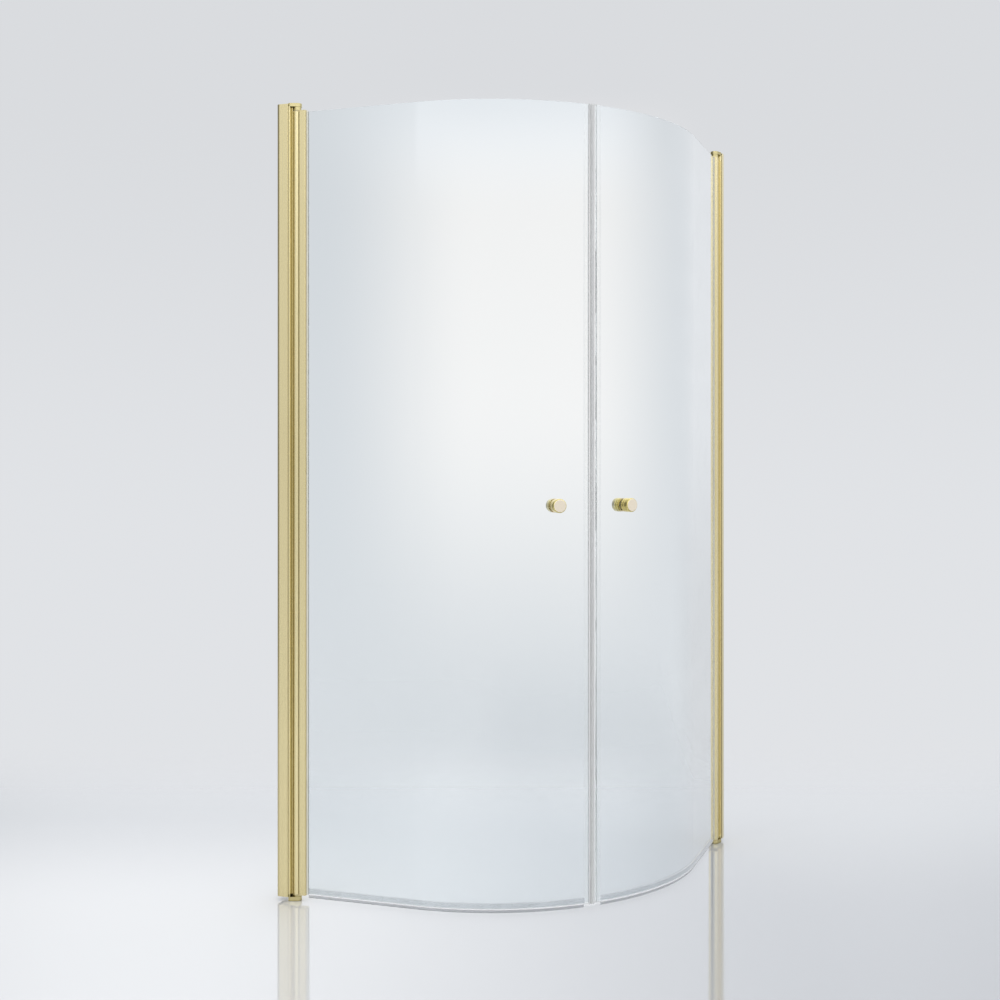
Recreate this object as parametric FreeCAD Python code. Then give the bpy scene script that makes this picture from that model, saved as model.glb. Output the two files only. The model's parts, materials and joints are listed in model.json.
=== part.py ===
import FreeCAD, Part
import math
import os

# Corner shower enclosure with two curved glass doors, in millimetres.
# Z is up, the floor is Z = 0 and the origin is under the middle of the plan square.
# The room corner is at (-X, +Y) and the rounded glass corner points to (+X, -Y).
# The left side is modelled, and the right side is its mirror image in the plane X + Y = 0.

# Overall sizes
enclosure_width = 890.0
profile_length = 1850.0
corner_radius = 550.0
glass_thickness = 6.0

# Wall profile section and its holes
wall_profile_depth = 36.0
wall_profile_reach = 29.5
wall_profile_wall = 1.8
wall_profile_corner = 8.0
wall_profile_lip_corner = 0.6
wall_hole_radius = 2.75
wall_hole_count = 4
wall_hole_margin = 120.0

# Hinge post that slides in the wall profile
post_clearance = 0.2
post_setback = 9.0
post_showing = 4.5
post_wall = 1.8
post_nose_corner = 1.2
post_lip_width = 6.0
post_back_corner = 1.5
screw_port_radius = 3.7
screw_port_bite = 0.4
screw_port_gap = 0.3

# Clamp screws that lock the post, and their caps
clamp_screw_count = 3
clamp_screw_margin = 260.0
clamp_screw_radius = 1.9
clamp_screw_clearance = 0.3
clamp_screw_from_post_back = 6.0
clamp_screw_length = 9.0
clamp_head_radius = 4.0
clamp_head_height = 2.4
clamp_drive_radius = 1.2
clamp_drive_depth = 1.4
screw_cap_wall = 1.2
screw_cap_clearance = 0.25
screw_cap_corner = 0.9

# Hinge brackets and the screws that hold them
bracket_base = 6.0
bottom_arm = 10.0
head_rise = 2.0
arm_wall_gap = 0.4
bracket_edge = 0.8
bracket_side_gap = 0.6
bracket_back_inset = 1.5
bracket_plug_length = 15.0
bracket_plug_clearance = 0.3
bracket_screw_radius = 2.0
bracket_screw_clearance = 0.2
bracket_screw_length = 18.0
bracket_head_radius = 3.3
bracket_head_depth = 2.0

# Door hinge: barrel, pins and bushes
hinge_gap = 1.0
swing_clearance = 0.5
barrel_wall = 3.5
pin_radius = 4.0
pin_reach = 20.0
pin_tail_radius = 5.0
pin_tail_clearance = 0.05
pin_socket_flats = 5.0
pin_socket_depth = 3.5
collar_inset = 1.0
running_clearance = 0.05
bush_length = 22.0
bush_clearance = 0.03
bush_flange = 1.2
thrust_gap = 0.3

# Door profile, its end caps and the glazing gaskets
door_bottom = 15.0
door_head_gap = 18.0
clamp_cheek = 7.0
clamp_skin = 1.7
clamp_length = 17.0
clamp_neck_overlap = 1.8
clamp_shoulder_corner = 2.5
clamp_mouth_corner = 0.8
clamp_slot_depth = 13.0
gasket_thickness = 1.0
gasket_start = 1.0
gasket_lip = 3.5
gasket_bead_width = 1.5
gasket_lip_rise = 1.0
gasket_lip_corner = 0.3
cap_thickness = 2.0
cap_peg_length = 8.0
cap_peg_clearance = 0.1

# Pane
glass_edge_gap = 2.0
glass_end_gap = 0.4
glass_to_seam = 10.0

# Soft strip in the nose of the hinge post
post_seal_offset = 6.5
post_seal_slot = 2.4
post_seal_foot = 4.4
post_seal_foot_thickness = 1.6
post_seal_neck = 1.9
post_seal_bulb_reach = 1.4
soft_clearance = 0.35

# Magnet seal on the free edge of the pane
seam_gap = 0.3
magnet_thickness = 2.5
magnet_skin = 0.5
magnet_clearance = 0.1
magnet_end_inset = 1.5
seal_wall = 0.8
seal_head_depth = 10.0
seal_web = 1.2
seal_leg = 1.1
seal_overlap = 11.0
seal_glass_clearance = 0.05
magnet_seal_rise = 1.5
magnet_seal_drop = 5.0

# Bottom seal under the pane
bottom_seal_web = 1.5
bottom_seal_leg_height = 15.0
bottom_seal_end_gap = 0.5
wiper_thickness = 1.0
wiper_floor_gap = 8.0
drip_fin_reach = 7.0
drip_fin_drop = 5.0
drip_fin_thickness = 1.0

# Knobs, one pair on each pane
knob_from_seam = 90.0
knob_height = 925.0
knob_length = 25.5
knob_radius = 16.0
knob_foot_radius = 14.0
knob_foot_height = 3.5
knob_face_rounding = 3.0
knob_ring_count = 2
knob_ring_depth = 1.2
knob_ring_width = 2.8
knob_ring_pitch = 6.5
stud_radius = 3.0
stud_depth = 14.0
stud_clearance = 0.05
stud_tip_gap = 0.5
glass_hole_radius = 6.0
sleeve_clearance = 0.15
washer_thickness = 0.8
washer_inset = 1.0
seat_clearance = 0.02

# Values worked out from the sizes above
half_width = enclosure_width / 2
wall_foot = bottom_arm
wall_head = wall_foot + profile_length
height = wall_head + head_rise
half_depth = wall_profile_depth / 2
glass_plane = half_depth - half_width
middle_radius = corner_radius - half_depth
arc_centre = FreeCAD.Vector(-(glass_plane + middle_radius), glass_plane + middle_radius, 0)
seam_angle = -45.0
arc_start_angle = -90.0

post_half = half_depth - wall_profile_wall - post_clearance
post_reach = wall_profile_reach + post_showing
post_foot = wall_foot + bracket_base
post_head = wall_head - bracket_base
seal_foot_front = post_reach - post_wall
seal_foot_back = seal_foot_front - post_seal_foot_thickness
screw_port_u = seal_foot_back - screw_port_gap - screw_port_radius
screw_port_v = post_half - post_wall - screw_port_radius + screw_port_bite
clamp_screw_u = post_setback + clamp_screw_from_post_back

slot_half = glass_thickness / 2 + gasket_thickness
clamp_half = slot_half + clamp_cheek
barrel_radius = clamp_half - hinge_gap + swing_clearance
barrel_bore = barrel_radius - barrel_wall
pivot_u = post_reach + hinge_gap + barrel_radius
clamp_start = pivot_u + barrel_radius - clamp_neck_overlap
clamp_end = clamp_start + clamp_length
slot_floor = clamp_end - clamp_slot_depth
gasket_end = clamp_end + gasket_lip

door_top = height - door_head_gap
door_profile_bottom = door_bottom + cap_thickness
door_profile_top = door_top - cap_thickness
collar_radius = barrel_radius - collar_inset
glass_start = slot_floor + glass_edge_gap
glass_bottom = door_profile_bottom + glass_end_gap
glass_top = door_profile_top - glass_end_gap
glass_inner_radius = middle_radius - glass_thickness / 2
glass_outer_radius = middle_radius + glass_thickness / 2
arc_start_u = arc_centre.x + half_width

seal_bottom = glass_bottom - magnet_seal_drop
seal_top = glass_top + magnet_seal_rise
seal_face = seam_gap / 2
seal_half = seal_head_depth / 2
seal_leg_near = glass_thickness / 2 + seal_glass_clearance
seal_leg_far = seal_leg_near + seal_leg
pocket_start = seal_face + magnet_skin
pocket_end = pocket_start + magnet_thickness

washer_radius = knob_foot_radius - washer_inset


def vector(x, y, z=0.0):
    return FreeCAD.Vector(x, y, z)


def rounded_outline(corners):
    """Closed wire through (x, y, corner radius) points, with each corner rounded by a tangent arc."""
    count = len(corners)
    ends = []
    for index, (x, y, radius) in enumerate(corners):
        here = vector(x, y)
        before = vector(*corners[index - 1][:2])
        after = vector(*corners[(index + 1) % count][:2])
        back = (before - here).normalize()
        ahead = (after - here).normalize()
        half_turn = back.getAngle(ahead) / 2
        setback = radius / math.tan(half_turn)
        middle = here
        if radius > 0:
            bisector = (back + ahead).normalize()
            middle = here + bisector * (radius / math.sin(half_turn) - radius)
        ends.append((here + back * setback, middle, here + ahead * setback))
    edges = []
    for index, (arrive, middle, leave) in enumerate(ends):
        if not arrive.isEqual(leave, 1e-6):
            edges.append(Part.Arc(arrive, middle, leave).toShape())
        next_arrive = ends[(index + 1) % count][0]
        if not leave.isEqual(next_arrive, 1e-6):
            edges.append(Part.LineSegment(leave, next_arrive).toShape())
    return Part.Wire(edges)


def prism(wire, bottom, top):
    """Straight extrusion of a plan outline between two heights."""
    solid = Part.Face(wire).extrude(vector(0, 0, top - bottom))
    solid.translate(vector(0, 0, bottom))
    return solid


def block(u_low, u_high, v_low, v_high, bottom, top, corner=0.0):
    """Upright block with equally rounded vertical edges."""
    plan = [(u_low, v_low), (u_high, v_low), (u_high, v_high), (u_low, v_high)]
    return prism(rounded_outline([(u, v, corner) for u, v in plan]), bottom, top)


def upright_cylinder(u, v, radius, bottom, top):
    return Part.makeCylinder(radius, top - bottom, vector(u, v, bottom))


def polar(radius, angle, z=0.0):
    """Point on a circle about the centre of the rounded corner."""
    turn = math.radians(angle)
    return arc_centre + vector(radius * math.cos(turn), radius * math.sin(turn), z)


def along_arc(angle_degrees, length):
    """Angle reached from a given angle after an arc length on the middle of the pane, towards the wall."""
    return angle_degrees - math.degrees(length / middle_radius)


def arc_sector(inner_radius, outer_radius, from_angle, to_angle, bottom, top):
    """Upright ring sector about the centre of the rounded corner."""
    angles = (from_angle, (from_angle + to_angle) / 2, to_angle)
    outer = [polar(outer_radius, angle) for angle in angles]
    inner = [polar(inner_radius, angle) for angle in reversed(angles)]
    outline = Part.Wire([
        Part.Arc(*outer).toShape(),
        Part.LineSegment(outer[-1], inner[0]).toShape(),
        Part.Arc(*inner).toShape(),
        Part.LineSegment(inner[-1], outer[0]).toShape(),
    ])
    return prism(outline, bottom, top)


def at_wall(shape):
    """Move a piece drawn from the wall (u) and the pane's middle plane (v) to its place on the left wall."""
    shape.translate(vector(-half_width, glass_plane))
    return shape


def heights_along_profile(margin, count):
    """Evenly spaced heights that start and end at the same distance from the ends of the wall profile."""
    low = wall_foot + margin
    step = (wall_head - margin - low) / (count - 1)
    return [low + step * index for index in range(count)]


wall_hole_heights = heights_along_profile(wall_hole_margin, wall_hole_count)
clamp_screw_heights = heights_along_profile(clamp_screw_margin, clamp_screw_count)


def wall_profile():
    inner_corner = wall_profile_corner - wall_profile_wall
    lip_corner = wall_profile_lip_corner
    outside = half_depth
    inside = half_depth - wall_profile_wall
    section = rounded_outline([
        (wall_profile_reach, -outside, lip_corner),
        (0, -outside, wall_profile_corner),
        (0, outside, wall_profile_corner),
        (wall_profile_reach, outside, lip_corner),
        (wall_profile_reach, inside, lip_corner),
        (wall_profile_wall, inside, inner_corner),
        (wall_profile_wall, -inside, inner_corner),
        (wall_profile_reach, -inside, lip_corner),
    ])
    profile = prism(section, wall_foot, wall_head)
    holes = []
    for z in wall_hole_heights:
        holes.append(Part.makeCylinder(wall_hole_radius, post_setback, vector(0, 0, z), vector(1, 0)))
    for z in clamp_screw_heights:
        start = vector(clamp_screw_u, inside - post_clearance, z)
        radius = clamp_screw_radius + clamp_screw_clearance
        holes.append(Part.makeCylinder(radius, wall_profile_wall + post_clearance, start, vector(0, 1)))
    return at_wall(profile.cut(holes))


def hinge_post():
    outside = rounded_outline([
        (post_setback, -post_half, post_back_corner),
        (post_reach, -post_half, post_nose_corner),
        (post_reach, post_half, post_nose_corner),
        (post_setback, post_half, post_back_corner),
    ])
    ends = post_foot, post_head
    post = prism(outside, *ends)
    cavity_half = post_half - post_wall
    cavity_back = post_setback + post_wall
    cavity = block(cavity_back, seal_foot_front, -cavity_half, cavity_half, *ends, post_back_corner)
    ports = []
    port_holes = []
    for v in (-screw_port_v, screw_port_v):
        ports.append(upright_cylinder(screw_port_u, v, screw_port_radius, *ends))
        port_holes.append(upright_cylinder(screw_port_u, v, bracket_screw_radius, *ends))
    seal_slot = seal_strip(seal_foot_front, post_reach, post_seal_slot)
    screw_holes = []
    for z in clamp_screw_heights:
        start = vector(clamp_screw_u, cavity_half, z)
        screw_holes.append(Part.makeCylinder(clamp_screw_radius, post_wall, start, vector(0, 1)))
    inside_ports = ports[0].fuse(ports[1]).common(post)
    walls = post.cut(cavity).fuse([inside_ports, barrel_lip()])
    return at_wall(walls.cut(port_holes + [seal_slot] + screw_holes).removeSplitter())


def barrel_lip():
    """Lip along the outer side of the post's nose, hollowed around the door barrel to hide the hinge gap."""
    ends = post_foot, post_head
    v_low = pivot_u + swing_clearance - clamp_start
    lip = block(seal_foot_front, pivot_u, v_low, v_low + post_lip_width, *ends)
    return lip.cut(upright_cylinder(pivot_u, 0, barrel_radius + hinge_gap, *ends))


def seal_strip(u_low, u_high, width):
    """Upright strip as long as the post, centred on its seal."""
    v_low = post_seal_offset - width / 2
    return block(u_low, u_high, v_low, v_low + width, post_foot, post_head)


def post_seal():
    """Bulb strip: foot behind the slot of the post, stem through it and round bulb towards the barrel."""
    bulb_u = post_reach + post_seal_bulb_reach
    bulb_radius = math.hypot(pivot_u - bulb_u, post_seal_offset) - barrel_radius - soft_clearance
    foot = seal_strip(seal_foot_back, seal_foot_front, post_seal_foot)
    stem = seal_strip(seal_foot_front, post_reach, post_seal_slot)
    neck = seal_strip(post_reach, bulb_u, post_seal_neck)
    bulb = upright_cylinder(bulb_u, post_seal_offset, bulb_radius, post_foot, post_head)
    return at_wall(foot.fuse([stem, neck, bulb]).removeSplitter())


def clamp_screws():
    screws = []
    for z in clamp_screw_heights:
        head_seat = vector(clamp_screw_u, half_depth, z)
        head = Part.makeCylinder(clamp_head_radius, clamp_head_height, head_seat, vector(0, 1))
        drive_start = head_seat + vector(0, clamp_head_height - clamp_drive_depth)
        drive = Part.makeCylinder(clamp_drive_radius, clamp_drive_depth, drive_start, vector(0, 1))
        shank = Part.makeCylinder(clamp_screw_radius, clamp_screw_length, head_seat, vector(0, -1))
        screws.append(at_wall(head.cut(drive).fuse(shank).removeSplitter()))
    return Part.makeCompound(screws)


def screw_caps():
    """Round covers pushed over the screw heads, open towards the wall profile."""
    inner_radius = clamp_head_radius + screw_cap_clearance
    inner_height = clamp_head_height + screw_cap_clearance
    outer_radius = inner_radius + screw_cap_wall
    outer_height = inner_height + screw_cap_wall
    caps = []
    for z in clamp_screw_heights:
        seat = vector(clamp_screw_u, half_depth, z)
        shell = Part.makeCylinder(outer_radius, outer_height, seat, vector(0, 1))
        rim = [edge for edge in shell.Edges if edge.BoundBox.YMin > seat.y + inner_height]
        shell = shell.makeFillet(screw_cap_corner, rim)
        hollow = Part.makeCylinder(inner_radius, inner_height, seat, vector(0, 1))
        caps.append(at_wall(shell.cut(hollow)))
    return Part.makeCompound(caps)


def tangent_from(u, v, centre_u, radius):
    """Point where a line from (u, v) touches a circle on the pane's middle plane, on its outer side."""
    reach = math.hypot(u - centre_u, v)
    towards = math.atan2(v, u - centre_u)
    turn = math.copysign(math.acos(radius / reach), v)
    return centre_u + radius * math.cos(towards - turn), radius * math.sin(towards - turn)


def screw_seat(v, is_top):
    """Middle of a screw head, flush with the base of a bracket and with the end of the wall profile."""
    return vector(screw_port_u, v, wall_head if is_top else wall_foot)


def screw_head(v, is_top, clearance):
    """Countersunk head of a bracket screw, or the recess for it."""
    direction = vector(0, 0, -1 if is_top else 1)
    seat = screw_seat(v, is_top)
    wide = bracket_head_radius + clearance
    narrow = bracket_screw_radius + clearance
    return Part.makeCone(wide, narrow, bracket_head_depth, seat, direction)


def bracket_arm(is_top):
    """Arm of a bracket outside the wall profile, rounded around the pivot, with its outer rim rounded off."""
    low = post_head if is_top else 0.0
    high = height if is_top else bottom_arm
    back = wall_profile_reach + arm_wall_gap
    side = post_half - bracket_side_gap
    touch_u, touch_v = tangent_from(post_reach, side, pivot_u, barrel_radius)
    touch = vector(touch_u, touch_v)
    mirrored_touch = vector(touch_u, -touch_v)
    nose = Part.Arc(mirrored_touch, vector(pivot_u + barrel_radius, 0), touch)
    corners = [vector(post_reach, side), vector(back, side), vector(back, -side), vector(post_reach, -side)]
    path = [touch] + corners + [mirrored_touch]
    sides = [Part.LineSegment(a, b).toShape() for a, b in zip(path, path[1:])]
    arm = prism(Part.Wire(sides + [nose.toShape()]), low, high)
    outer_face = high if is_top else low
    rim = []
    for edge in arm.Edges:
        is_level = edge.BoundBox.ZLength < 1e-3
        if is_level and abs(edge.BoundBox.ZMin - outer_face) < 1e-3:
            rim.append(edge)
    return arm.makeFillet(bracket_edge, rim)


def hinge_bracket(is_top):
    """Casting on the end of the post: base inside the wall profile, plug in the post and arm to the pivot."""
    low = post_head if is_top else wall_foot
    high = low + bracket_base
    back = post_setback + bracket_back_inset
    side = post_half - bracket_side_gap
    base = block(back, post_reach, -side, side, low, high, bracket_edge)

    plug_back = post_setback + post_wall + bracket_plug_clearance
    plug_front = seal_foot_back - bracket_plug_clearance
    plug_half = screw_port_v - screw_port_radius - bracket_plug_clearance
    plug_low = low - bracket_plug_length if is_top else high
    plug_high = plug_low + bracket_plug_length
    plug = block(plug_back, plug_front, -plug_half, plug_half, plug_low, plug_high, bracket_edge)

    cuts = [upright_cylinder(pivot_u, 0, pin_tail_radius + pin_tail_clearance, 0.0, height)]
    hole_radius = bracket_screw_radius + bracket_screw_clearance
    for v in (-screw_port_v, screw_port_v):
        cuts.append(upright_cylinder(screw_port_u, v, hole_radius, low, high))
        cuts.append(screw_head(v, is_top, bracket_screw_clearance))
    return at_wall(base.fuse([bracket_arm(is_top), plug]).cut(cuts).removeSplitter())


def bracket_screws():
    screws = []
    for is_top in (True, False):
        direction = vector(0, 0, -1 if is_top else 1)
        for v in (-screw_port_v, screw_port_v):
            seat = screw_seat(v, is_top)
            head = screw_head(v, is_top, 0.0)
            shank = Part.makeCylinder(bracket_screw_radius, bracket_screw_length, seat, direction)
            drive = Part.makeCylinder(clamp_drive_radius, clamp_drive_depth, seat, direction)
            screws.append(at_wall(head.fuse(shank).cut(drive).removeSplitter()))
    return Part.makeCompound(screws)


def hex_prism(u, flats, bottom, top):
    corner = flats / math.sqrt(3)
    points = []
    for index in range(7):
        turn = math.radians(60 * index)
        points.append(vector(u + corner * math.cos(turn), corner * math.sin(turn)))
    return prism(Part.makePolygon(points), bottom, top)


def pivot_pin(is_top):
    """Stepped pin: tail in the bracket, collar that carries the door and shank that runs in the bush."""
    if is_top:
        collar_low = door_top + bush_flange + thrust_gap
        collar_high = post_head
        tail = upright_cylinder(pivot_u, 0, pin_tail_radius, collar_high, height)
        shank = upright_cylinder(pivot_u, 0, pin_radius, door_top - pin_reach, collar_low)
        socket = hex_prism(pivot_u, pin_socket_flats, height - pin_socket_depth, height)
    else:
        collar_low = bottom_arm
        collar_high = door_bottom - bush_flange - thrust_gap
        tail = upright_cylinder(pivot_u, 0, pin_tail_radius, 0.0, collar_low)
        shank = upright_cylinder(pivot_u, 0, pin_radius, collar_high, door_bottom + pin_reach)
        socket = hex_prism(pivot_u, pin_socket_flats, 0.0, pin_socket_depth)
    collar = upright_cylinder(pivot_u, 0, collar_radius, collar_low, collar_high)
    return at_wall(collar.fuse([tail, shank]).cut(socket).removeSplitter())


def bush(is_top):
    """Flanged plastic bush in the end of the barrel."""
    body_radius = barrel_bore - bush_clearance
    bore_radius = pin_radius + running_clearance
    if is_top:
        body = upright_cylinder(pivot_u, 0, body_radius, door_top - bush_length, door_top)
        flange = upright_cylinder(pivot_u, 0, collar_radius, door_top, door_top + bush_flange)
        bore = upright_cylinder(pivot_u, 0, bore_radius, door_top - bush_length, door_top + bush_flange)
    else:
        body = upright_cylinder(pivot_u, 0, body_radius, door_bottom, door_bottom + bush_length)
        flange = upright_cylinder(pivot_u, 0, collar_radius, door_bottom - bush_flange, door_bottom)
        bore = upright_cylinder(pivot_u, 0, bore_radius, door_bottom - bush_flange, door_bottom + bush_length)
    return at_wall(body.fuse(flange).cut(bore).removeSplitter())


def door_section(bottom, top):
    """Outer form of the door profile: round barrel running into the block that clamps the pane."""
    barrel = upright_cylinder(pivot_u, 0, barrel_radius, bottom, top)
    clamp = prism(rounded_outline([
        (clamp_start, -clamp_half, clamp_shoulder_corner),
        (clamp_end, -clamp_half, clamp_mouth_corner),
        (clamp_end, clamp_half, clamp_mouth_corner),
        (clamp_start, clamp_half, clamp_shoulder_corner),
    ]), bottom, top)
    return barrel.fuse(clamp).removeSplitter()


def cheek_chamber(side, clearance, bottom, top):
    """Hollow inside one cheek of the clamp, which also takes the pegs of the end caps."""
    near = slot_half + clamp_skin + clearance
    far = clamp_half - clamp_skin - clearance
    v_low = min(side * near, side * far)
    v_high = max(side * near, side * far)
    start = clamp_start + clamp_shoulder_corner + clearance
    end = clamp_end - clamp_skin - clearance
    return block(start, end, v_low, v_high, bottom, top)


def door_profile():
    low = door_profile_bottom
    high = door_profile_top
    slot = block(slot_floor, clamp_end, -slot_half, slot_half, low, high)
    bore = upright_cylinder(pivot_u, 0, barrel_bore, low, high)
    chambers = [cheek_chamber(side, 0.0, low, high) for side in (-1, 1)]
    return at_wall(door_section(low, high).cut([slot, bore] + chambers).removeSplitter())


def end_cap(is_top):
    low = door_profile_top if is_top else door_bottom
    high = low + cap_thickness
    hole = upright_cylinder(pivot_u, 0, barrel_bore, low, high)
    peg_low = low - cap_peg_length if is_top else high
    pegs = [cheek_chamber(side, cap_peg_clearance, peg_low, peg_low + cap_peg_length) for side in (-1, 1)]
    return at_wall(door_section(low, high).cut(hole).fuse(pegs).removeSplitter())


def glazing_gasket(side):
    """Strip between pane and clamp with a bead that covers the mouth of the clamp."""
    near = side * glass_thickness / 2
    far = side * slot_half
    bead = side * (slot_half + gasket_lip_rise)
    half_bead = (near + far) / 2
    section = rounded_outline([
        (slot_floor + gasket_start, near, 0),
        (gasket_end, near, 0),
        (gasket_end, half_bead, gasket_lip_corner),
        (clamp_end + gasket_bead_width, bead, gasket_lip_corner),
        (clamp_end, bead, 0),
        (clamp_end, far, 0),
        (slot_floor + gasket_start, far, 0),
    ])
    return at_wall(prism(section, door_profile_bottom, door_profile_top))


def knob_frame():
    """Placement at the middle of the pane behind a knob, with local Z pointing out of the enclosure."""
    angle = along_arc(seam_angle, knob_from_seam)
    outward = polar(1.0, angle) - arc_centre
    turn = FreeCAD.Rotation(vector(0, 0, 1), outward)
    return FreeCAD.Placement(polar(middle_radius, angle, knob_height), turn)


def in_knob_frame(shape):
    shape.Placement = knob_frame().multiply(shape.Placement)
    return shape


def glass():
    """Pane that is straight at the wall and bent around the corner, with a hole for the knobs."""
    ends = glass_bottom, glass_top
    edge_angle = along_arc(seam_angle, glass_to_seam)
    half = glass_thickness / 2
    straight = at_wall(block(glass_start, arc_start_u, -half, half, *ends))
    bend = arc_sector(glass_inner_radius, glass_outer_radius, arc_start_angle, edge_angle, *ends)
    hole = Part.makeCylinder(glass_hole_radius, glass_thickness * 2, vector(0, 0, -glass_thickness))
    return straight.fuse(bend).removeSplitter().cut(in_knob_frame(hole))


def seam_sector(from_seam, to_seam, inner_offset, outer_offset, bottom, top):
    """Ring sector between two distances from the seam and two offsets from the middle of the pane."""
    angles = along_arc(seam_angle, to_seam), along_arc(seam_angle, from_seam)
    return arc_sector(middle_radius + inner_offset, middle_radius + outer_offset, *angles, bottom, top)


def magnet_seal():
    """Clear hollow strip: pocket for the magnet, air chamber and two legs that clip over the pane."""
    ends = seal_bottom, seal_top
    inside = seal_half - seal_wall
    web_start = glass_to_seam - seal_web
    body = seam_sector(seal_face, glass_to_seam, -seal_half, seal_half, *ends)
    pocket = seam_sector(pocket_start, pocket_end, -inside, inside, *ends)
    chamber = seam_sector(pocket_end + seal_wall, web_start, -inside, inside, *ends)
    leg_end = glass_to_seam + seal_overlap
    outer_leg = seam_sector(web_start, leg_end, seal_leg_near, seal_leg_far, *ends)
    inner_leg = seam_sector(web_start, leg_end, -seal_leg_far, -seal_leg_near, *ends)
    return body.cut([pocket, chamber]).fuse([outer_leg, inner_leg]).removeSplitter()


def magnet_strip():
    side = seal_half - seal_wall - magnet_clearance
    start = pocket_start + magnet_clearance
    end = pocket_end - magnet_clearance
    return seam_sector(start, end, -side, side, seal_bottom + magnet_end_inset, seal_top - magnet_end_inset)


def at_wall_point(u, v, z):
    return vector(u - half_width, glass_plane + v, z)


def bottom_seal():
    """Clear strip under the pane: U-clip, wiper lip towards the floor and a drip fin on the inside."""
    near = seal_leg_near
    far = seal_leg_far
    web_top = glass_bottom - seal_glass_clearance
    web_bottom = web_top - bottom_seal_web
    leg_top = web_bottom + bottom_seal_leg_height
    wiper_half = wiper_thickness / 2
    fin_root = far - drip_fin_thickness
    fin_bottom = web_bottom - drip_fin_drop
    clip = [(far, web_bottom), (far, leg_top), (near, leg_top), (near, web_top)]
    mirrored_clip = [(-v, z) for v, z in reversed(clip)]
    wiper = [(-wiper_half, web_bottom), (-wiper_half, wiper_floor_gap)]
    mirrored_wiper = [(-v, z) for v, z in reversed(wiper)]
    fin_tip = [(fin_root + drip_fin_reach, fin_bottom), (far + drip_fin_reach, fin_bottom)]
    fin = [(fin_root, web_bottom)] + fin_tip
    section = clip + mirrored_clip + wiper + mirrored_wiper + fin
    closed_section = section + section[:1]

    start_u = gasket_end + bottom_seal_end_gap
    start = Part.makePolygon([at_wall_point(start_u, v, z) for v, z in closed_section])
    straight = Part.Face(start).extrude(vector(arc_start_u - start_u, 0))
    bend_start = Part.makePolygon([at_wall_point(arc_start_u, v, z) for v, z in closed_section])
    sweep = along_arc(seam_angle, glass_to_seam + seal_overlap + bottom_seal_end_gap) - arc_start_angle
    bend = Part.Face(bend_start).revolve(arc_centre, vector(0, 0, 1), sweep)
    return straight.fuse(bend).removeSplitter()


def knob_seat(is_outer):
    """Distance of a knob's flat washer from the middle of the pane, clear of the bent glass face."""
    half = glass_thickness / 2 + seat_clearance
    bow = glass_inner_radius - math.sqrt(glass_inner_radius ** 2 - washer_radius ** 2)
    return half if is_outer else half + bow


def knob(is_outer):
    """Turned knob: narrower foot, cylindrical grip with round ring grooves and a flat rounded face."""
    base = knob_seat(is_outer) + washer_thickness
    corner_cut = knob_face_rounding * (1 - math.cos(math.radians(45)))
    half_ring = knob_ring_width / 2
    foot = [
        vector(0, 0, 0),
        vector(knob_foot_radius, 0, 0),
        vector(knob_foot_radius, 0, knob_foot_height),
        vector(knob_radius, 0, knob_foot_height),
    ]
    edges = [Part.LineSegment(a, b).toShape() for a, b in zip(foot, foot[1:])]
    here = foot[-1]
    for index in range(knob_ring_count):
        middle = knob_foot_height + knob_ring_pitch * (index + 0.5)
        ring = [
            vector(knob_radius, 0, middle - half_ring),
            vector(knob_radius - knob_ring_depth, 0, middle),
            vector(knob_radius, 0, middle + half_ring),
        ]
        edges.append(Part.LineSegment(here, ring[0]).toShape())
        edges.append(Part.Arc(*ring).toShape())
        here = ring[-1]
    rounding_start = vector(knob_radius, 0, knob_length - knob_face_rounding)
    rounding_middle = vector(knob_radius - corner_cut, 0, knob_length - corner_cut)
    face_edge = vector(knob_radius - knob_face_rounding, 0, knob_length)
    face_middle = vector(0, 0, knob_length)
    edges.append(Part.LineSegment(here, rounding_start).toShape())
    edges.append(Part.Arc(rounding_start, rounding_middle, face_edge).toShape())
    edges.append(Part.LineSegment(face_edge, face_middle).toShape())
    edges.append(Part.LineSegment(face_middle, foot[0]).toShape())
    turned = Part.Face(Part.Wire(edges)).revolve(vector(0, 0, 0), vector(0, 0, 1), 360)
    turned = turned.cut(Part.makeCylinder(stud_radius + stud_clearance, stud_depth))
    turned.translate(vector(0, 0, base))
    if not is_outer:
        turned.rotate(vector(0, 0, 0), vector(1, 0, 0), 180)
    return in_knob_frame(turned)


def knob_stud():
    inner_end = -(knob_seat(False) + washer_thickness + stud_depth - stud_tip_gap)
    outer_end = knob_seat(True) + washer_thickness + stud_depth - stud_tip_gap
    return in_knob_frame(Part.makeCylinder(stud_radius, outer_end - inner_end, vector(0, 0, inner_end)))


def knob_sleeve():
    """Plastic sleeve that keeps the stud off the edge of the hole in the pane."""
    half = glass_thickness / 2
    body = Part.makeCylinder(glass_hole_radius - sleeve_clearance, glass_thickness, vector(0, 0, -half))
    bore = Part.makeCylinder(stud_radius + stud_clearance, glass_thickness, vector(0, 0, -half))
    return in_knob_frame(body.cut(bore))


def knob_washers():
    washers = []
    for is_outer in (True, False):
        low = knob_seat(is_outer) if is_outer else -knob_seat(is_outer) - washer_thickness
        disc = Part.makeCylinder(washer_radius, washer_thickness, vector(0, 0, low))
        hole = Part.makeCylinder(stud_radius + stud_clearance, washer_thickness, vector(0, 0, low))
        washers.append(in_knob_frame(disc.cut(hole)))
    return Part.makeCompound(washers)


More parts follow.
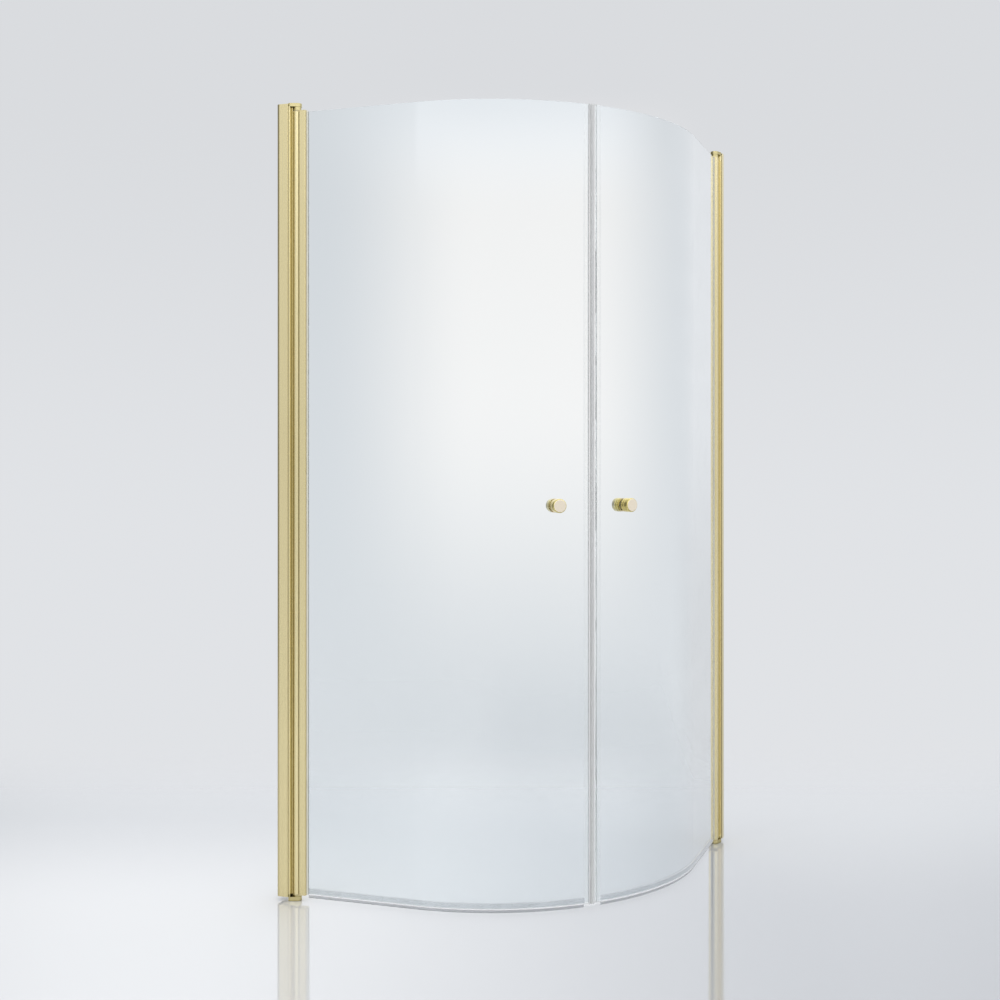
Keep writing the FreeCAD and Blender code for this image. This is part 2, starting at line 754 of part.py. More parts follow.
left_pieces = {
    "wall_profile": wall_profile(),
    "hinge_post": hinge_post(),
    "post_seal": post_seal(),
    "clamp_screws": clamp_screws(),
    "screw_caps": screw_caps(),
    "top_hinge_bracket": hinge_bracket(True),
    "bottom_hinge_bracket": hinge_bracket(False),
    "bracket_screws": bracket_screws(),
    "top_pivot_pin": pivot_pin(True),
    "bottom_pivot_pin": pivot_pin(False),
    "door_profile": door_profile(),
    "top_end_cap": end_cap(True),
    "bottom_end_cap": end_cap(False),
    "top_bush": bush(True),
    "bottom_bush": bush(False),
    "outer_glazing_gasket": glazing_gasket(-1),
    "inner_glazing_gasket": glazing_gasket(1),
    "glass": glass(),
    "magnet_seal": magnet_seal(),
    "magnet_strip": magnet_strip(),
    "bottom_seal": bottom_seal(),
    "outer_knob": knob(True),
    "inner_knob": knob(False),
    "knob_stud": knob_stud(),
    "knob_sleeve": knob_sleeve(),
    "knob_washers": knob_washers(),
}

os.makedirs("parts", exist_ok=True)
for name, shape in left_pieces.items():
    shape.exportStep("parts/left_" + name + ".step")
    mirrored = shape.mirror(vector(0, 0, 0), vector(1, 1, 0))
    mirrored.exportStep("parts/right_" + name + ".step")
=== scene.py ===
import json
import math

import bpy
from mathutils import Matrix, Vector


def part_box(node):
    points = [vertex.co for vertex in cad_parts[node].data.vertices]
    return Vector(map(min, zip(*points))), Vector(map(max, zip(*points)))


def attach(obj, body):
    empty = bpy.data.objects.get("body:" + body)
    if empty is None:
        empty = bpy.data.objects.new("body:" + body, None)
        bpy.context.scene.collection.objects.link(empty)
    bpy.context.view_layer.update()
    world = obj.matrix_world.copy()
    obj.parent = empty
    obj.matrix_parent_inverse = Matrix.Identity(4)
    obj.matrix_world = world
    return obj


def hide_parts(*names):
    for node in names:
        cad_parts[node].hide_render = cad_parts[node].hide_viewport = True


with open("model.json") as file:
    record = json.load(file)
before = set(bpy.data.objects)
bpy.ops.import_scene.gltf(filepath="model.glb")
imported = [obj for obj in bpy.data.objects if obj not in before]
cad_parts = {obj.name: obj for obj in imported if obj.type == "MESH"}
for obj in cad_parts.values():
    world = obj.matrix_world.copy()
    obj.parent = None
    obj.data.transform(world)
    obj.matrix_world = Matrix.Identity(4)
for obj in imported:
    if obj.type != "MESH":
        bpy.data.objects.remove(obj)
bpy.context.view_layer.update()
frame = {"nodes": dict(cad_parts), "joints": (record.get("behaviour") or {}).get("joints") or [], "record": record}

# Corner shower enclosure with two bent glass doors, in metres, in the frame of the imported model.
# The left pieces are modelled and the right ones are their mirror image in the plane X + Y = 0.

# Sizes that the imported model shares
corner_radius = 0.550
profile_depth = 0.036
glass_thickness = 0.006
glass_to_seam = 0.010
seal_overlap = 0.011
knob_from_seam = 0.090
knob_height = 0.925
knob_hole_radius = 0.006

# Finer forms of the pane and of the strip under it
arris = 0.0006
gasket_relief = 0.00003
arc_steps = 72
knob_patch = 0.030
hole_steps = 48
seal_clearance = 0.00005
seal_leg = 0.0011
seal_leg_height = 0.015
seal_web = 0.0015
seal_tip_flare = 0.0005
seal_end_gap = 0.0005
wiper_root = 0.0012
wiper_tip = 0.0005
fin_reach = 0.007
fin_drop = 0.005
fin_root = 0.0011
fin_tip = 0.0005
lip_height = 0.002
smooth_angle = math.radians(20)
edge_angle = math.radians(30)

# Camera at the photograph's viewpoint
image_width_px = 1000
focal_length_px = 1437.17
horizon_px = 467.53
camera_place = Vector((1.1514, -3.4473, 1.0115))
camera_yaw = math.radians(19.157)
sensor_width_mm = 36.0

# Noise in the materials: its usual range, its detail in soft and in lined surfaces, and the depth of grain
noise_low = 0.3
noise_high = 0.7
soft_detail = 2.0
line_detail = 4.0
grain_depth = 0.00002

# Floor: a disc, with the distances from its middle at which its painted shade tones and fading begin and end
floor_reach = 9.0
floor_steps = 64
floor_side_tone = (-0.75, 0.65)
floor_depth_tone = (-0.40, 0.65)
floor_fade = (2.4, 6.0)
floor_back_fade = (0.35, 1.6)

# Colours of the floor, with painted shade in its darker right and back tones, the backdrop and its halo
floor_left_colour = (0.79, 0.79, 0.79, 1)
floor_right_painted_shade = (0.455, 0.465, 0.485, 1)
floor_back_painted_shade = (0.56, 0.57, 0.585, 1)
backdrop_colour = (0.715, 0.730, 0.755, 1)
halo_colour = (0.90, 0.74, 0.61, 1)

# Levels of the backdrop and of the light
low_backdrop_level = 1.05
high_backdrop_level = 0.98
halo_level = 0.38
even_level = 1.12
shade_share = 0.3
low_side_share = 0.80
overhead_level = 0.6
front_level = 1.6
back_level = 0.40

left_joint = next(joint for joint in frame["joints"] if joint["child"] == "left_door")
glass_plane = left_joint["pos_m"][1]
middle_radius = corner_radius - profile_depth / 2
arc_centre = Vector((-(glass_plane + middle_radius), glass_plane + middle_radius, 0))
arc_start_angle = math.radians(-90)
seam_angle = math.radians(-45)
half_glass = glass_thickness / 2 - gasket_relief


def mirrored(point):
    """Image of a point or direction in the plane X + Y = 0."""
    return Vector((-point.y, -point.x, point.z))


def knob_direction(side):
    """Direction in which the knobs of one side stand off the pane."""
    angle = seam_angle - knob_from_seam / middle_radius
    outward = Vector((math.cos(angle), math.sin(angle), 0))
    return outward if side == "left" else mirrored(outward)


def material(name):
    """New node material; gives the material, its nodes, its links and its surface shader."""
    made = bpy.data.materials.new(name)
    made.use_nodes = True
    tree = made.node_tree
    return made, tree.nodes, tree.links, tree.nodes["Principled BSDF"]


def combined(nodes, links, operation, first, second):
    """Two values brought together by one arithmetic operation."""
    made = nodes.new("ShaderNodeMath")
    made.operation = operation
    links.new(first, made.inputs[0])
    links.new(second, made.inputs[1])
    return made.outputs["Value"]


def mixed(nodes, links, factor, first, second):
    """Mix of two colours, each a constant or the output of another node."""
    mix = nodes.new("ShaderNodeMix")
    mix.data_type = "RGBA"
    links.new(factor, mix.inputs["Factor"])
    for name, colour in (("A", first), ("B", second)):
        if isinstance(colour, tuple):
            mix.inputs[name].default_value = colour
        else:
            links.new(colour, mix.inputs[name])
    return mix.outputs["Result"]


def noise(nodes, links, cells, detail):
    """Noise over the piece's own coordinates, with its cell count per metre along each axis."""
    place = nodes.new("ShaderNodeTexCoord")
    mapping = nodes.new("ShaderNodeMapping")
    mapping.inputs["Scale"].default_value = cells
    field = nodes.new("ShaderNodeTexNoise")
    field.inputs["Scale"].default_value = 1.0
    field.inputs["Detail"].default_value = detail
    links.new(place.outputs["Object"], mapping.inputs["Vector"])
    links.new(mapping.outputs["Vector"], field.inputs["Vector"])
    return field.outputs["Fac"]


def spread(nodes, links, field, low, high):
    """Noise field mapped to a range of values."""
    ranged = nodes.new("ShaderNodeMapRange")
    ranged.inputs["From Min"].default_value = noise_low
    ranged.inputs["From Max"].default_value = noise_high
    ranged.inputs["To Min"].default_value = low
    ranged.inputs["To Max"].default_value = high
    links.new(field, ranged.inputs["Value"])
    return ranged.outputs["Result"]


def ramp(nodes, links, value, edge, from_level, to_level):
    """Smooth step from one level to another, over the pair of values at which the edge begins and ends."""
    start, end = edge
    step = nodes.new("ShaderNodeMapRange")
    step.interpolation_type = "SMOOTHSTEP"
    step.inputs["From Min"].default_value = start
    step.inputs["From Max"].default_value = end
    step.inputs["To Min"].default_value = from_level
    step.inputs["To Max"].default_value = to_level
    links.new(value, step.inputs["Value"])
    return step.outputs["Result"]


def tinted(nodes, links, field, tints):
    """Colour that drifts between two tints."""
    first, second = tints
    return mixed(nodes, links, spread(nodes, links, field, 0.0, 1.0), first, second)


def bumped(nodes, links, shader, field, depth):
    """Relief of a surface from a noise field."""
    bump = nodes.new("ShaderNodeBump")
    bump.inputs["Distance"].default_value = depth
    links.new(field, bump.inputs["Height"])
    links.new(bump.outputs["Normal"], shader.inputs["Normal"])


def surfaced(nodes, links, shader, colour, field, rough, depth):
    """Colour of a surface, and a fine field that varies its gloss and relief."""
    links.new(colour, shader.inputs["Base Color"])
    links.new(spread(nodes, links, field, *rough), shader.inputs["Roughness"])
    bumped(nodes, links, shader, field, depth)


def painted_recess_shade(nodes, links, colour, painted_shade_colour, reach):
    """Painted shade: colour that darkens in grooves and corners closer than a given reach."""
    covered = 0.40
    uncovered = 0.95
    cover = nodes.new("ShaderNodeAmbientOcclusion")
    cover.inputs["Distance"].default_value = reach
    openness = ramp(nodes, links, cover.outputs["AO"], (covered, uncovered), 0.0, 1.0)
    return mixed(nodes, links, openness, painted_shade_colour, colour)


def painted_face_highlight(nodes, links, colour, face_highlight_colour, axis):
    """Painted highlight: colour that changes to a brighter one on surfaces square to a turning axis."""
    slanted = 0.80
    square = 0.95
    place = nodes.new("ShaderNodeTexCoord")
    facing = nodes.new("ShaderNodeVectorMath")
    facing.operation = "DOT_PRODUCT"
    facing.inputs[1].default_value = axis
    links.new(place.outputs["Normal"], facing.inputs[0])
    either_way = combined(nodes, links, "MULTIPLY", facing.outputs["Value"], facing.outputs["Value"])
    cut = ramp(nodes, links, either_way, (slanted, square), 0.0, 1.0)
    return mixed(nodes, links, cut, colour, face_highlight_colour)


def gold_metal(name, tints, painted_shade_colour, rough, cells, depth):
    """Gold-coloured metal: slow drift of tint, painted shade in recesses, and fine lines that vary gloss and
    relief.
    """
    painted_shade_reach = 0.004
    made, nodes, links, shader = material(name)
    shader.inputs["Metallic"].default_value = 1.0
    drift = noise(nodes, links, cells=(3, 3, 2), detail=soft_detail)
    lines = noise(nodes, links, cells=cells, detail=line_detail)
    colour = painted_recess_shade(nodes, links, tinted(nodes, links, drift, tints), painted_shade_colour, painted_shade_reach)
    surfaced(nodes, links, shader, colour, lines, rough=rough, depth=depth)
    return made


def gold_extrusion():
    """Drawn profile, with lines along its length."""
    return gold_metal(
        "gold_extrusion",
        tints=((0.80, 0.69, 0.39, 1), (0.83, 0.72, 0.41, 1)),
        # colour of the painted shade in grooves and recesses
        painted_shade_colour=(0.34, 0.29, 0.13, 1),
        rough=(0.20, 0.30),
        cells=(900, 900, 1.5),
        depth=0.00003,
    )


def brass_fitting():
    """Polished casting, without a direction in its lines."""
    return gold_metal(
        "brass_fitting",
        tints=((0.56, 0.48, 0.24, 1), (0.60, 0.52, 0.27, 1)),
        # colour of the painted shade in grooves and recesses
        painted_shade_colour=(0.26, 0.22, 0.08, 1),
        rough=(0.16, 0.26),
        cells=(420, 420, 420),
        depth=grain_depth,
    )


def brass_knob(side):
    """Turned brass of one side's knobs: faces painted brighter as a highlight, duller sides, and painted shade in
    the grooves.
    """
    tints = ((0.74, 0.62, 0.22, 1), (0.78, 0.66, 0.26, 1))
    # colour of the painted highlight on the knobs' end faces
    face_highlight_colour = (0.97, 0.86, 0.69, 1)
    # colour of the painted shade in the knobs' grooves
    painted_shade_colour = (0.32, 0.25, 0.08, 1)
    painted_shade_reach = 0.0015
    line_depth = 0.00001
    made, nodes, links, shader = material(side + "_brass_knob")
    shader.inputs["Metallic"].default_value = 1.0
    drift = noise(nodes, links, cells=(60, 60, 60), detail=soft_detail)
    lines = noise(nodes, links, cells=(700, 700, 700), detail=line_detail)
    colour = tinted(nodes, links, drift, tints)
    # painted highlight on the faces square to the knob's axis
    colour = painted_face_highlight(nodes, links, colour, face_highlight_colour, knob_direction(side))
    colour = painted_recess_shade(nodes, links, colour, painted_shade_colour, painted_shade_reach)
    surfaced(nodes, links, shader, colour, lines, rough=(0.08, 0.16), depth=line_depth)
    return made


def gold_cap():
    """Gold-coloured plastic with a metallic look under a thin coat."""
    tints = ((0.76, 0.65, 0.35, 1), (0.79, 0.68, 0.38, 1))
    made, nodes, links, shader = material("gold_cap")
    shader.inputs["Metallic"].default_value = 0.85
    shader.inputs["Coat Weight"].default_value = 0.3
    shader.inputs["Coat Roughness"].default_value = 0.15
    grain = noise(nodes, links, cells=(1500, 1500, 1500), detail=soft_detail)
    drift = noise(nodes, links, cells=(25, 25, 25), detail=soft_detail)
    colour = tinted(nodes, links, drift, tints)
    surfaced(nodes, links, shader, colour, grain, rough=(0.28, 0.38), depth=grain_depth)
    return made


def clear_glass():
    """Clear coated pane: hardly uneven in tint and gloss, with the slight roller wave of toughened glass."""
    tints = ((0.86, 0.905, 0.92, 1), (0.875, 0.915, 0.93, 1))
    smear_detail = 5.0
    greatest_smear = 0.012
    wave_depth = 0.0002
    made, nodes, links, shader = material("clear_glass")
    shader.inputs["Transmission Weight"].default_value = 1.0
    shader.inputs["IOR"].default_value = 1.5
    shader.inputs["Coat Weight"].default_value = 1.0
    shader.inputs["Coat IOR"].default_value = 1.8
    shader.inputs["Coat Roughness"].default_value = 0.0
    drift = noise(nodes, links, cells=(2, 2, 1.5), detail=soft_detail)
    smears = noise(nodes, links, cells=(14, 14, 9), detail=smear_detail)
    wave = noise(nodes, links, cells=(2, 2, 5), detail=0.0)
    links.new(tinted(nodes, links, drift, tints), shader.inputs["Base Color"])
    links.new(spread(nodes, links, smears, 0.0, greatest_smear), shader.inputs["Roughness"])
    bumped(nodes, links, shader, wave, wave_depth)
    return made


def ground_edge(name, tints, cells):
    """Fine-ground frosted edge of the pane; cells tells how its grinding marks run. Its level and upright copies
    differ in tint by painted light and shade.
    """
    made, nodes, links, shader = material(name)
    shader.inputs["Transmission Weight"].default_value = 0.6
    shader.inputs["IOR"].default_value = 1.4
    drift = noise(nodes, links, cells=(8, 8, 8), detail=soft_detail)
    grain = noise(nodes, links, cells=cells, detail=soft_detail)
    colour = tinted(nodes, links, drift, tints)
    surfaced(nodes, links, shader, colour, grain, rough=(0.35, 0.5), depth=grain_depth)
    return made


def clear_plastic(name, tints, bend):
    """Clear soft plastic, hardly uneven along its length; bend is its index of refraction."""
    made, nodes, links, shader = material(name)
    shader.inputs["Transmission Weight"].default_value = 0.98
    shader.inputs["IOR"].default_value = bend
    drift = noise(nodes, links, cells=(20, 20, 3), detail=soft_detail)
    waves = noise(nodes, links, cells=(30, 30, 4), detail=soft_detail)
    colour = tinted(nodes, links, drift, tints)
    surfaced(nodes, links, shader, colour, waves, rough=(0.03, 0.07), depth=grain_depth)
    return made


def soft_plastic(name, tints, rough, cells):
    """Plain plastic or rubber with a slight drift of tint and a fine grain."""
    made, nodes, links, shader = material(name)
    drift = noise(nodes, links, cells=(20, 20, 20), detail=soft_detail)
    grain = noise(nodes, links, cells=(cells, cells, cells), detail=soft_detail)
    colour = tinted(nodes, links, drift, tints)
    surfaced(nodes, links, shader, colour, grain, rough=rough, depth=grain_depth)
    return made


def steel():
    """Stainless screws, uneven in tint and gloss alike."""
    tints = ((0.60, 0.60, 0.61, 1), (0.68, 0.68, 0.68, 1))
    turned_detail = 3.0
    made, nodes, links, shader = material("steel_screw")
    shader.inputs["Metallic"].default_value = 1.0
    turned = noise(nodes, links, cells=(500, 500, 500), detail=turned_detail)
    colour = tinted(nodes, links, turned, tints)
    surfaced(nodes, links, shader, colour, turned, rough=(0.22, 0.36), depth=grain_depth)
    return made


def pale_gasket():
    tints = ((0.75, 0.73, 0.62, 1), (0.80, 0.78, 0.68, 1))
    return soft_plastic("pale_gasket", tints, rough=(0.40, 0.52), cells=1200)


def brown_nylon():
    tints = ((0.34, 0.29, 0.17, 1), (0.38, 0.33, 0.20, 1))
    return soft_plastic("brown_nylon", tints, rough=(0.38, 0.48), cells=900)


def magnet():
    tints = ((0.78, 0.78, 0.77, 1), (0.82, 0.82, 0.81, 1))
    return soft_plastic("magnet", tints, rough=(0.45, 0.60), cells=1500)


def strip_lip():
    tints = ((0.46, 0.47, 0.48, 1), (0.50, 0.51, 0.52, 1))
    return soft_plastic("strip_lip", tints, rough=(0.38, 0.48), cells=1200)


def clear_seal():
    tints = ((0.975, 0.975, 0.97, 1), (0.985, 0.985, 0.98, 1))
    return clear_plastic("clear_seal", tints, bend=1.10)


def clear_strip():
    tints = ((0.80, 0.81, 0.815, 1), (0.84, 0.85, 0.855, 1))
    return clear_plastic("clear_strip", tints, bend=1.30)


def clear_wiper():
    tints = ((0.54, 0.55, 0.56, 1), (0.58, 0.59, 0.60, 1))
    return clear_plastic("clear_wiper", tints, bend=1.30)


# Level edges: the ground edge painted paler, as painted light from overhead
def lit_level_edge():
    tints = ((0.84, 0.88, 0.89, 1), (0.88, 0.91, 0.92, 1))
    return ground_edge("lit_level_edge", tints, cells=(900, 900, 900))


# Upright edges: the same ground edge painted darker, as painted shade
def shaded_upright_edge():
    tints = ((0.40, 0.43, 0.43, 1), (0.44, 0.47, 0.47, 1))
    return ground_edge("shaded_upright_edge", tints, cells=(900, 900, 6))


finishes = {
    "gold_extrusion": gold_extrusion(),
    "brass_fitting": brass_fitting(),
    "gold_cap": gold_cap(),
    "clear_glass": clear_glass(),
    "clear_seal": clear_seal(),
    "pale_gasket": pale_gasket(),
    "brown_nylon": brown_nylon(),
    "steel_screw": steel(),
    "magnet": magnet(),
}
edge_finishes = (lit_level_edge(), shaded_upright_edge())
knob_finishes = {side: brass_knob(side) for side in ("left", "right")}
strip_finishes = (clear_strip(), clear_wiper(), strip_lip())

for entry in frame["record"]["subparts"]:
    node = frame["nodes"][entry["node"]]
    slot = entry["material_slot"]
    side = entry["node"].split("_")[0]
    node.data.materials.clear()
    node.data.materials.append(knob_finishes[side] if slot == "brass_knob" else finishes[slot])
    node.visible_shadow = slot != "clear_seal"
    node.visible_glossy = slot not in ("clear_seal", "magnet")


def pane_path(start_x, end_from_seam):
    """Stations (point, outward direction) on the left pane's middle, from its hinge side to near the seam."""
    end_angle = seam_angle - end_from_seam / middle_radius
    outward = Vector((0, -1, 0))
    stations = [(Vector((start_x, glass_plane, 0)), outward)]
    for step in range(arc_steps + 1):
        angle = arc_start_angle + (end_angle - arc_start_angle) * step / arc_steps
        outward = Vector((math.cos(angle), math.sin(angle), 0))
        stations.append((arc_centre + outward * middle_radius, outward))
    return stations


def sweep(sections, stations):
    """Points and faces of a closed bar: one section of (offset outward, height) points at each station."""
    points = []
    for section, (place, outward) in zip(sections, stations):
        for offset, height in section:
            points.append(place + outward * offset + Vector((0, 0, height)))
    count = len(sections[0])
    faces = []
    for ring in range(len(stations) - 1):
        low = ring * count
        for index in range(count):
            after = (index + 1) % count
            faces.append((low + index, low + count + index, low + count + after, low + after))
    faces.append(tuple(range(count)))
    last = len(points) - count
    faces.append(tuple(reversed(range(last, last + count))))
    return points, faces


def smooth_shading(mesh):
    """Smooth shading that keeps edges sharper than the smooth angle."""
    mesh.shade_smooth()
    mesh.set_sharp_from_angle(angle=smooth_angle)


def piece(name, points, faces, side):
    """Mesh object of one side with smooth shading across its gentle edges."""
    if side == "right":
        points = [mirrored(point) for point in points]
        faces = [tuple(reversed(face)) for face in faces]
    mesh = bpy.data.meshes.new(name)
    mesh.from_pydata(points, [], faces)
    made = bpy.data.objects.new(name, mesh)
    bpy.context.scene.collection.objects.link(made)
    smooth_shading(mesh)
    return made


def dress(made, node, side):
    """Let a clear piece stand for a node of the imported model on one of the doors."""
    made.visible_shadow = False
    made.visible_glossy = False
    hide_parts(node)
    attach(made, side + "_door")


def rectangle(half, low, high, rows):
    """Upright section with ground corners, and extra rows of points at given heights on both faces."""
    outer = [(half, low + arris)] + [(half, row) for row in rows] + [(half, high - arris)]
    inner = [(-offset, height) for offset, height in reversed(outer)]
    top = [(half - arris, high), (arris - half, high)]
    bottom = [(arris - half, low), (half - arris, low)]
    return outer + top + inner + bottom


def knob_hole(side):
    """Round bar through the pane where the knobs are, as the shape to cut away."""
    outward = knob_direction("left")
    across = Vector((-outward.y, outward.x, 0))
    centre = arc_centre + outward * middle_radius + Vector((0, 0, knob_height))
    points = []
    for depth in (-glass_thickness, glass_thickness):
        for step in range(hole_steps):
            turn = 2 * math.pi * step / hole_steps
            radial = across * math.cos(turn) + Vector((0, 0, math.sin(turn)))
            points.append(centre + outward * depth + radial * knob_hole_radius)
    faces = [tuple(reversed(range(hole_steps))), tuple(range(hole_steps, 2 * hole_steps))]
    for step in range(hole_steps):
        after = (step + 1) % hole_steps
        faces.append((step, after, hole_steps + after, hole_steps + step))
    return piece(side + "_hole_cutter", points, faces, side)


def cut_away(made, cutter):
    """Take the cutter's volume out of a piece and drop the cutter."""
    cut = made.modifiers.new("hole", "BOOLEAN")
    cut.operation = "DIFFERENCE"
    cut.solver = "EXACT"
    cut.object = cutter
    shape = bpy.data.meshes.new_from_object(made.evaluated_get(bpy.context.evaluated_depsgraph_get()))
    made.modifiers.clear()
    made.data = shape
    bpy.data.objects.remove(cutter)
    smooth_shading(shape)


def is_edge_face(face, side):
    """True for the ground faces round the pane, which don't lie along its two main faces."""
    centre = face.center if side == "left" else mirrored(face.center)
    normal = face.normal if side == "left" else mirrored(face.normal)
    outward = Vector((0, -1, 0))
    if centre.x > arc_centre.x:
        outward = (Vector((centre.x, centre.y, 0)) - arc_centre).normalized()
    return abs(normal.dot(outward)) < math.cos(edge_angle)


def glass_pane(side):
    """Bent pane with ground edges: the end sections draw in by the arris, as the long edges do."""
    level_index = 1
    upright_index = 2
    low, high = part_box("left_glass")
    stations = pane_path(low.x, glass_to_seam)
    along = Vector((1, 0, 0))
    first_place, first_outward = stations[0]
    stations.insert(1, (first_place + along * arris, first_outward))
    last_place, last_outward = stations[-1]
    backward = Vector((last_outward.y, -last_outward.x, 0))
    stations.insert(len(stations) - 1, (last_place + backward * arris, last_outward))
    rows = (knob_height - knob_patch, knob_height + knob_patch)
    full = rectangle(half_glass, low.z, high.z, rows)
    drawn_in = rectangle(half_glass - arris, low.z + arris, high.z - arris, rows)
    sections = [drawn_in] + [full] * (len(stations) - 2) + [drawn_in]
    points, faces = sweep(sections, stations)
    pane = piece(side + "_glass_pane", points, faces, side)
    pane.data.materials.append(finishes["clear_glass"])
    cut_away(pane, knob_hole(side))
    # level and upright edges get the lit and the shaded copy of the ground edge
    for finish in edge_finishes:
        pane.data.materials.append(finish)
    for face in pane.data.polygons:
        if is_edge_face(face, side):
            upright = abs(face.normal.z) < math.sin(edge_angle)
            face.material_index = upright_index if upright else level_index
    dress(pane, side + "_glass", side)


def bottom_strip(side):
    """Clear strip under the pane: clip with flared tips, tapering wiper and drip fin on the inside."""
    wiper_index = 1
    lip_index = 2
    pane_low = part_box("left_glass")[0].z
    start_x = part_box("left_bottom_seal")[0].x
    floor_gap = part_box("left_bottom_seal")[0].z
    near = half_glass + seal_clearance
    far = near + seal_leg
    web_top = pane_low - seal_clearance
    web_low = web_top - seal_web
    leg_top = web_low + seal_leg_height
    half_root = wiper_root / 2
    half_tip = wiper_tip / 2
    lip_top = floor_gap + lip_height
    half_lip = half_tip + (half_root - half_tip) * lip_height / (web_low - floor_gap)
    outer_leg = [
        (far, web_low), (far, leg_top - seal_leg), (far + seal_tip_flare, leg_top),
        (near, leg_top - seal_tip_flare), (near, web_top),
    ]
    inner_leg = [(-offset, height) for offset, height in reversed(outer_leg)]
    fin = [
        (-far - fin_reach, web_low - fin_drop), (fin_tip - far - fin_reach, web_low - fin_drop),
        (fin_root - far, web_low),
    ]
    wiper = [
        (-half_root, web_low), (-half_lip, lip_top), (-half_tip, floor_gap),
        (half_tip, floor_gap), (half_lip, lip_top), (half_root, web_low),
    ]
    section = outer_leg + inner_leg + fin + wiper
    stations = pane_path(start_x, glass_to_seam + seal_overlap + seal_end_gap)
    points, faces = sweep([section] * len(stations), stations)
    strip = piece(side + "_bottom_strip", points, faces, side)
    for finish in strip_finishes:
        strip.data.materials.append(finish)
    for face in strip.data.polygons:
        if face.center.z < lip_top:
            face.material_index = lip_index
        elif face.center.z < web_low:
            face.material_index = wiper_index
    dress(strip, side + "_bottom_seal", side)


for side in ("left", "right"):
    glass_pane(side)
    bottom_strip(side)


def studio_floor():
    """Pale glossy floor that fades into the backdrop away from the object."""
    points = [Vector((0, 0, 0))]
    for step in range(floor_steps):
        turn = 2 * math.pi * step / floor_steps
        points.append(Vector((floor_reach * math.cos(turn), floor_reach * math.sin(turn), 0)))
    faces = [(0, 1 + step, 1 + (step + 1) % floor_steps) for step in range(floor_steps)]
    mesh = bpy.data.meshes.new("studio_floor")
    mesh.from_pydata(points, [], faces)
    floor = bpy.data.objects.new("studio_floor", mesh)
    bpy.context.scene.collection.objects.link(floor)
    mesh.materials.append(floor_finish())


def floor_finish():
    """Floor with painted shade: paler on the left of the camera's view than on the right, with a third, painted
    tone at the back.
    """
    made, nodes, links, shader = material("studio_floor")
    shader.inputs["Roughness"].default_value = 0.06
    shader.inputs["IOR"].default_value = 1.8
    shader.inputs["Specular IOR Level"].default_value = 1.0
    place = nodes.new("ShaderNodeTexCoord")

    def along(x, y):
        measure = nodes.new("ShaderNodeVectorMath")
        measure.operation = "DOT_PRODUCT"
        measure.inputs[1].default_value = (x, y, 0)
        links.new(place.outputs["Object"], measure.inputs[0])
        return measure.outputs["Value"]

    across = along(math.cos(camera_yaw), math.sin(camera_yaw))
    ahead = along(-math.sin(camera_yaw), math.cos(camera_yaw))
    to_right = ramp(nodes, links, across, floor_side_tone, 0.0, 1.0)
    to_back = ramp(nodes, links, ahead, floor_depth_tone, 0.0, 1.0)
    # painted shade: darker tones towards the right and towards the back
    front_colour = mixed(nodes, links, to_right, floor_left_colour, floor_right_painted_shade)
    colour = mixed(nodes, links, to_back, front_colour, floor_back_painted_shade)
    links.new(colour, shader.inputs["Base Color"])
    distance = nodes.new("ShaderNodeVectorMath")
    distance.operation = "LENGTH"
    links.new(place.outputs["Object"], distance.inputs[0])
    fade = ramp(nodes, links, distance.outputs["Value"], floor_fade, 1.0, 0.0)
    fade_back = ramp(nodes, links, ahead, floor_back_fade, 1.0, 0.0)
    links.new(combined(nodes, links, "MULTIPLY", fade, fade_back), shader.inputs["Alpha"])
    return made


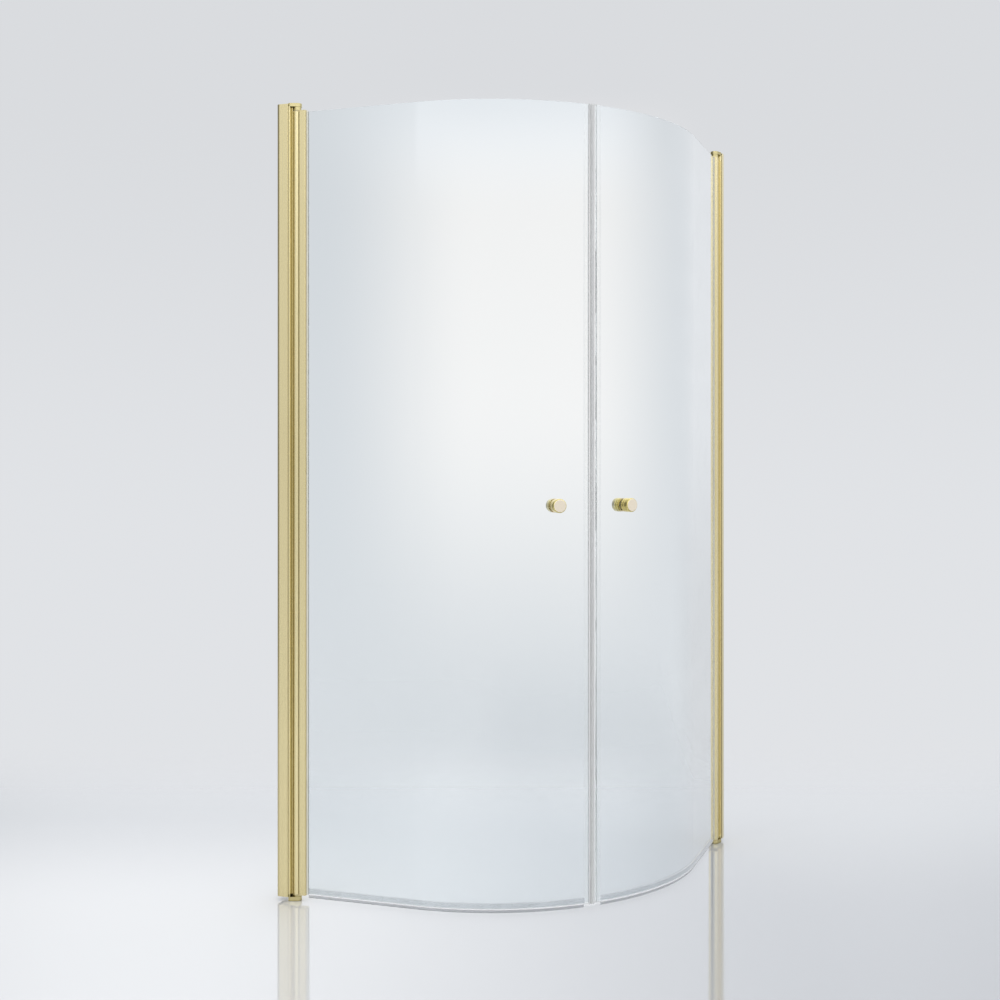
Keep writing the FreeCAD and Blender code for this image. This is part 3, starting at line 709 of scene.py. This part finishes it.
def studio_world():
    """Plain pale backdrop with a soft halo behind the object, and the surround that lights the object.

    The surround has the backdrop's colour. It is brighter overhead, in a soft band in front and behind the
    object, and weaker towards -X and low down towards +Y. The edges of its patches are pairs of azimuths in
    degrees (first and last) or of rises (low and high), and a rise is the sine of the angle above the
    horizon."""
    shade_front_edge = (-140, -119)
    shade_back_edge = (120, 150)
    overhead_edge = (0.35, 0.65)
    backdrop_edge = (-0.05, 0.25)
    world = bpy.data.worlds.new("studio")
    bpy.context.scene.world = world
    world.use_nodes = True
    nodes = world.node_tree.nodes
    links = world.node_tree.links
    nodes.remove(nodes["Background"])
    place = nodes.new("ShaderNodeTexCoord")
    direction = nodes.new("ShaderNodeSeparateXYZ")
    links.new(place.outputs["Generated"], direction.inputs["Vector"])
    azimuth = combined(nodes, links, "ARCTAN2", direction.outputs["Y"], direction.outputs["X"])
    rise = direction.outputs["Z"]

    def turn(edge, from_level, to_level):
        start, end = edge
        return ramp(nodes, links, azimuth, (math.radians(start), math.radians(end)), from_level, to_level)

    def lift(edge, from_level, to_level):
        return ramp(nodes, links, rise, edge, from_level, to_level)

    def product(*values):
        made = values[0]
        for value in values[1:]:
            made = combined(nodes, links, "MULTIPLY", made, value)
        return made

    def total(*values):
        made = values[0]
        for value in values[1:]:
            made = combined(nodes, links, "ADD", made, value)
        return made

    def patch(level, first, last, high, low=None):
        edges = [turn(first, 0, level), turn(last, 1, 0)]
        if low:
            edges.append(lift(low, 0, 1))
        edges.append(lift(high, 1, 0))
        return product(*edges)

    def background(colour, strength):
        made = nodes.new("ShaderNodeBackground")
        made.inputs["Color"].default_value = colour
        links.new(strength, made.inputs["Strength"])
        return made.outputs["Background"]

    even = product(turn(shade_front_edge, shade_share * even_level, even_level),
                   turn(shade_back_edge, 1, shade_share))
    low_side_drop = (low_side_share - 1) * even_level
    low_side = patch(low_side_drop, first=(40, 65), last=(100, 120), high=(-0.12, 0.06))
    overhead = lift(overhead_edge, 0, overhead_level)
    front = patch(front_level, first=(-118, -109), last=(-20, 40), low=(0.17, 0.235), high=(0.27, 0.33))
    back = patch(back_level, first=(80, 95), last=(125, 140), low=(-0.05, 0.30), high=(0.45, 0.6))
    halo = patch(halo_level, first=(100.6, 105.8), last=(110, 116.5), low=(-0.19, 0.06), high=(0.17, 0.257))
    light = background(backdrop_colour, total(even, low_side, overhead, front, back))
    plain = background(backdrop_colour, lift(backdrop_edge, low_backdrop_level, high_backdrop_level))

    path = nodes.new("ShaderNodeLightPath")
    camera_ray = path.outputs["Is Camera Ray"]
    straight = combined(nodes, links, "MAXIMUM", camera_ray, path.outputs["Is Transmission Ray"])
    shown = combined(nodes, links, "MAXIMUM", straight, path.outputs["Is Glossy Ray"])
    surround = nodes.new("ShaderNodeMixShader")
    links.new(straight, surround.inputs["Fac"])
    links.new(light, surround.inputs[1])
    links.new(plain, surround.inputs[2])
    sky = nodes.new("ShaderNodeAddShader")
    links.new(surround.outputs["Shader"], sky.inputs[0])
    links.new(background(halo_colour, product(halo, shown)), sky.inputs[1])
    links.new(sky.outputs["Shader"], nodes["World Output"].inputs["Surface"])


def camera():
    """Level camera; the lens shift puts the horizon where the photograph has it."""
    lens = bpy.data.cameras.new("camera")
    lens.sensor_width = sensor_width_mm
    lens.lens = sensor_width_mm * focal_length_px / image_width_px
    lens.shift_y = (horizon_px - image_width_px / 2) / image_width_px
    made = bpy.data.objects.new("camera", lens)
    bpy.context.scene.collection.objects.link(made)
    made.location = camera_place
    made.rotation_euler = (math.radians(90), 0, camera_yaw)
    bpy.context.scene.camera = made


studio_floor()
studio_world()
camera()

bpy.context.scene.view_settings.view_transform = "Standard"
